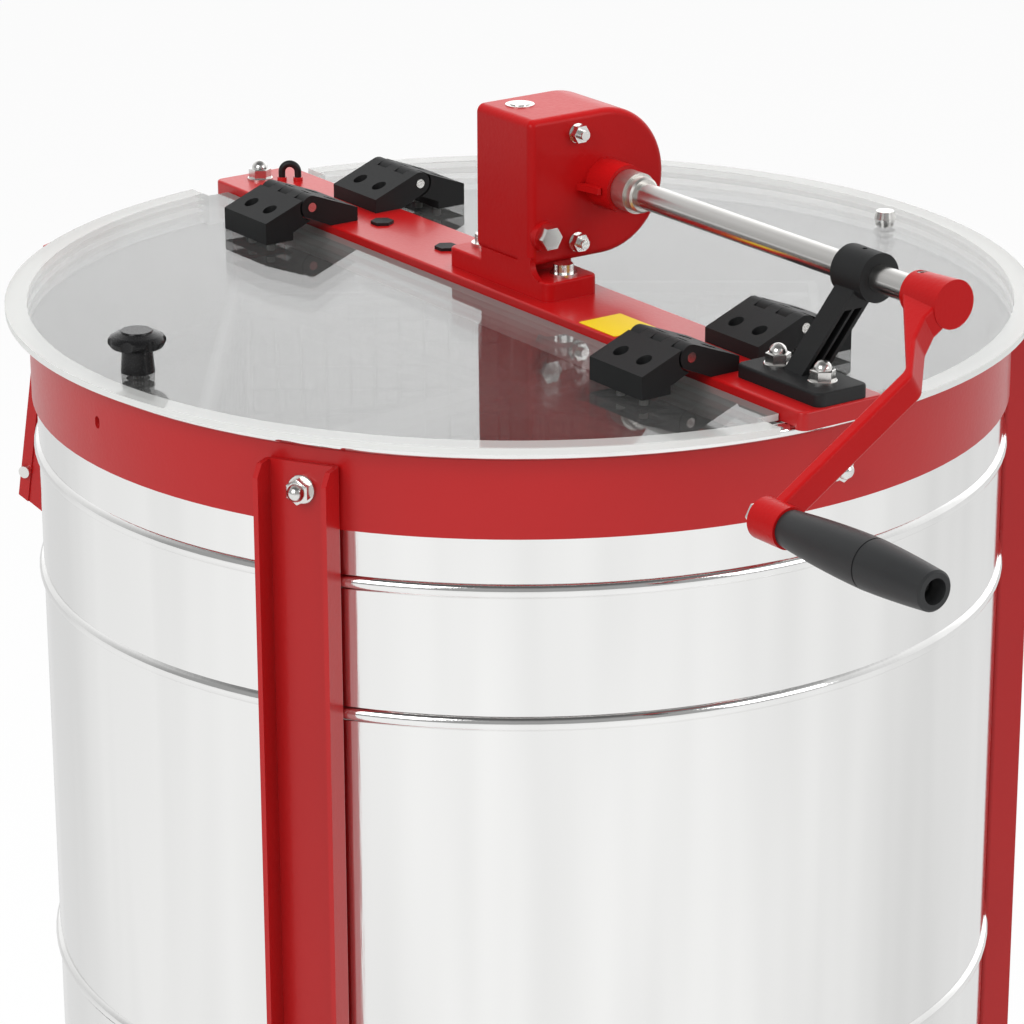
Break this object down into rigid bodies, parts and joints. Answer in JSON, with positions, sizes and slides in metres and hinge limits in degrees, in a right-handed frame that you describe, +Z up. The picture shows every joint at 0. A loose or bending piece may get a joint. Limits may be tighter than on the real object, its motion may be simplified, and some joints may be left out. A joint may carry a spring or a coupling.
{
  "type": "hand crank honey extractor",
  "caption": "Steel drum on three red legs with two clear hinged half lids, a wire basket inside, and a hand crank that spins it through a red gearbox on the crossbar.",
  "frame": {"origin": "drum axis at floor level", "axes": "+Z up along the drum axis; +X along the crossbar to the crank; -Y is the side of the front lid"},
  "size_m": [0.8761, 0.6629, 1.1694],
  "materials": {
    "stainless": "satin",
    "clear_sheet": "clear and glossy",
    "fastener_steel": "bright",
    "red_paint": "gloss with a fine orange peel",
    "machined_steel": "turned",
    "bronze": "satin",
    "black_plastic": "satin",
    "knob_plastic": "gloss",
    "black_wire": "satin",
    "red_plastic": "gloss",
    "yellow_label": "gloss"
  },
  "bodies": {
    "stand": {"drum_shell": "stainless", "drum_bottom": "stainless", "drum_band": "red_paint", "leg_front_left": "red_paint", "leg_rear_right": "red_paint", "leg_back": "red_paint", "leg_spacers": "machined_steel", "crossbar": "red_paint", "bar_brackets": "red_paint", "frame_bolts": "fastener_steel", "leg_nuts": "fastener_steel", "bar_nuts": "fastener_steel", "bar_plugs": "black_plastic", "wire_loop": "black_wire", "wire_sleeves": "red_plastic", "blank_label": "yellow_label", "gearbox_housing": "red_paint", "gearbox_cover": "red_paint", "cover_bolts": "fastener_steel", "foot_bolts": "fastener_steel", "top_plug": "machined_steel", "gearbox_bushes": "bronze", "shaft_support": "black_plastic", "bearing_cup": "machined_steel", "bearing_ball": "machined_steel", "hinge_bar_leaves": "black_plastic", "hinge_pins": "machined_steel", "hinge_bar_screws": "fastener_steel", "outlet_pipe": "stainless", "gate_body": "black_plastic", "gate_bolts": "fastener_steel", "side_bracket": "red_paint", "side_screws": "fastener_steel"},
    "crank": {"crank_shaft": "machined_steel", "wheel_gear": "machined_steel", "shaft_collar": "machined_steel", "crank_arm": "red_paint", "crank_set_screw": "fastener_steel", "grip_spindle": "fastener_steel"},
    "grip": {"crank_grip": "knob_plastic"},
    "basket": {"output_shaft": "machined_steel", "pinion_gear": "machined_steel", "shaft_coupling": "machined_steel", "basket_shaft": "machined_steel", "basket_frame": "stainless", "mesh_screens": "stainless"},
    "front_lid_body": {"front_lid": "clear_sheet", "front_lid_knob": "knob_plastic", "front_lid_leaves": "black_plastic", "front_leaf_spacers": "black_plastic", "front_leaf_screws": "fastener_steel"},
    "rear_lid_body": {"rear_lid": "clear_sheet", "rear_lid_button": "knob_plastic", "rear_lid_leaves": "black_plastic", "rear_leaf_spacers": "black_plastic", "rear_leaf_screws": "fastener_steel"},
    "gate_flap_body": {"gate_flap": "black_plastic"},
    "gate_knob_body": {"gate_knob": "knob_plastic"}
  },
  "joints": [
    {"name": "basket_spin", "type": "hinge", "parent": "stand", "child": "basket", "pos_m": [0, 0, 1.1228], "axis": [0, 0, 1], "continuous": true},
    {"name": "crank_turn", "type": "hinge", "parent": "stand", "child": "crank", "pos_m": [0, 0.03589, 1.1228], "axis": [1, 0, 0], "continuous": true},
    {"name": "grip_spin", "type": "hinge", "parent": "crank", "child": "grip", "pos_m": [0.4, -0.10828, 1.03271], "axis": [1, 0, 0], "continuous": true},
    {"name": "front_lid_hinge", "type": "hinge", "parent": "stand", "child": "front_lid_body", "pos_m": [0, -0.0445, 1.0738], "axis": [-1, 0, 0], "range_deg": [0, 100]},
    {"name": "rear_lid_hinge", "type": "hinge", "parent": "stand", "child": "rear_lid_body", "pos_m": [0, 0.0445, 1.0738], "axis": [1, 0, 0], "range_deg": [0, 65]},
    {"name": "gate_swing", "type": "hinge", "parent": "stand", "child": "gate_flap_body", "pos_m": [-0.13836, -0.31965, 0.483], "axis": [0.5, 0.866, 0], "range_deg": [0, 85]},
    {"name": "gate_knob_turn", "type": "hinge", "parent": "stand", "child": "gate_knob_body", "pos_m": [-0.21064, -0.28484, 0.483], "axis": [-0.5, -0.866, 0], "continuous": true}
  ],
  "couplings": [
    {"joint": "crank_turn", "follows": "basket_spin", "ratio": 0.45}
  ]
}
